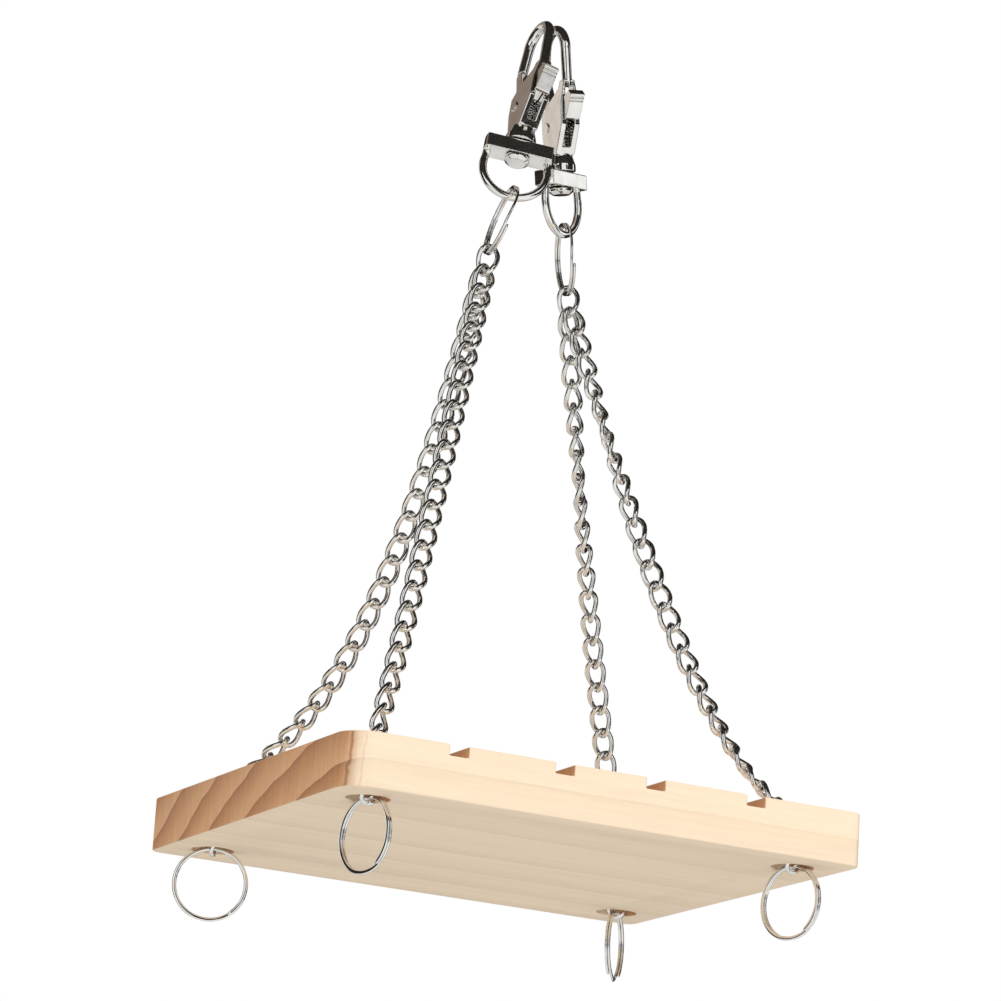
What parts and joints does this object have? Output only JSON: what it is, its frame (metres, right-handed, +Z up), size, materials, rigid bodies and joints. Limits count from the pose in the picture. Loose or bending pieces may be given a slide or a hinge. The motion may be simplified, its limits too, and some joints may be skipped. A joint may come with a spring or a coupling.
{
  "type": "small pet swing",
  "caption": "Hanging swing for a hamster: a grooved pine platform on curb chains with split rings below it, hung from swivel snap hooks",
  "frame": {"origin": "the point on the cage bar where the bows of both snap hooks hang", "axes": "+X along the platform to its right end, +Y to its back, +Z up"},
  "size_m": [0.15, 0.125, 0.2566],
  "materials": {
    "pine": "raw planed pine",
    "nickel_plate": "bright nickel plate",
    "spring_steel": "drawn spring wire"
  },
  "bodies": {
    "hooks": {"hook_body_left": "nickel_plate", "gate_pin_left": "nickel_plate", "gate_spring_left": "spring_steel", "hook_body_right": "nickel_plate", "gate_pin_right": "nickel_plate", "gate_spring_right": "spring_steel"},
    "gate_left": {"gate_left": "nickel_plate"},
    "gate_right": {"gate_right": "nickel_plate"},
    "eye_left": {"swivel_eye_left": "nickel_plate"},
    "eye_right": {"swivel_eye_right": "nickel_plate"},
    "upper_ring_left": {"upper_ring_left": "nickel_plate"},
    "upper_ring_right": {"upper_ring_right": "nickel_plate"},
    "left_chains": {"joining_link_left": "nickel_plate", "chain_front_left": "nickel_plate", "chain_back_left": "nickel_plate"},
    "right_chains": {"joining_link_right": "nickel_plate", "chain_front_right": "nickel_plate", "chain_back_right": "nickel_plate"},
    "platform": {"platform": "pine", "tail_links_front_left": "nickel_plate", "tail_links_back_left": "nickel_plate", "tail_links_front_right": "nickel_plate", "tail_links_back_right": "nickel_plate"},
    "lower_ring_front_left": {"lower_ring_front_left": "nickel_plate"},
    "lower_ring_back_left": {"lower_ring_back_left": "nickel_plate"},
    "lower_ring_front_right": {"lower_ring_front_right": "nickel_plate"},
    "lower_ring_back_right": {"lower_ring_back_right": "nickel_plate"}
  },
  "joints": [
    {"name": "gate_left_hinge", "type": "hinge", "parent": "hooks", "child": "gate_left", "pos_m": [-0.00768, -0.00319, -0.0253], "axis": [0.9781, 0, -0.2079], "range_deg": [0, 35], "stiffness_Nm_per_rad": 0.02, "springref_deg": -20.05, "deforming": ["gate_spring_left"]},
    {"name": "gate_right_hinge", "type": "hinge", "parent": "hooks", "child": "gate_right", "pos_m": [0.00671, 0.00469, -0.02526], "axis": [0.9851, 0, 0.1719], "range_deg": [0, 35], "stiffness_Nm_per_rad": 0.02, "springref_deg": -20.05, "deforming": ["gate_spring_right"]},
    {"name": "eye_left_swivel", "type": "hinge", "parent": "hooks", "child": "eye_left", "pos_m": [-0.01065, -0.0078, -0.03927], "axis": [0.2041, 0.1908, 0.9602], "range_deg": [-12, 8]},
    {"name": "eye_right_swivel", "type": "hinge", "parent": "hooks", "child": "eye_right", "pos_m": [0.00929, 0.00456, -0.04004], "axis": [-0.1709, -0.1115, 0.979], "range_deg": [-40, 0]},
    {"name": "swing", "type": "hinge", "parent": "hooks", "child": "upper_ring_left", "pos_m": [-0.01373, -0.01069, -0.05377], "axis": [0.8336, 0.5513, -0.0343], "range_deg": [-20, 20]},
    {"name": "swing_right", "type": "hinge", "parent": "hooks", "child": "upper_ring_right", "pos_m": [0.01187, 0.00624, -0.05482], "axis": [0.8336, 0.5513, -0.0343], "range_deg": [-20.1, 20.1]},
    {"name": "sway", "type": "hinge", "parent": "upper_ring_left", "child": "left_chains", "pos_m": [-0.01797, -0.00889, -0.07008], "axis": [0, 1, 0], "range_deg": [-6, 6]},
    {"name": "sway_right", "type": "hinge", "parent": "upper_ring_right", "child": "right_chains", "pos_m": [0.01471, 0.00624, -0.07153], "axis": [0, 1, 0], "range_deg": [-6.2, 6.2]},
    {"name": "platform_tilt", "type": "hinge", "parent": "left_chains", "child": "platform", "pos_m": [-0.0608, 0, -0.22137], "axis": [0, 1, 0], "range_deg": [-1.7, 1.7]},
    {"name": "lower_ring_front_left_flap", "type": "hinge", "parent": "platform", "child": "lower_ring_front_left", "pos_m": [-0.0608, -0.0483, -0.23465], "axis": [0.2079, -0.9781, 0], "range_deg": [-12, 12]},
    {"name": "lower_ring_back_left_flap", "type": "hinge", "parent": "platform", "child": "lower_ring_back_left", "pos_m": [-0.0608, 0.0483, -0.23465], "axis": [0.891, -0.454, 0], "range_deg": [-12, 12]},
    {"name": "lower_ring_front_right_flap", "type": "hinge", "parent": "platform", "child": "lower_ring_front_right", "pos_m": [0.0638, -0.0483, -0.23465], "axis": [0.2924, -0.9563, 0], "range_deg": [-12, 12]},
    {"name": "lower_ring_back_right_flap", "type": "hinge", "parent": "platform", "child": "lower_ring_back_right", "pos_m": [0.0638, 0.0483, -0.23465], "axis": [0.6428, 0.766, 0], "range_deg": [-12, 12]}
  ],
  "couplings": [
    {"joint": "swing_right", "follows": "swing", "ratio": 1},
    {"joint": "sway_right", "follows": "sway", "ratio": 1.0097},
    {"joint": "platform_tilt", "follows": "sway", "ratio": -0.25846}
  ]
}
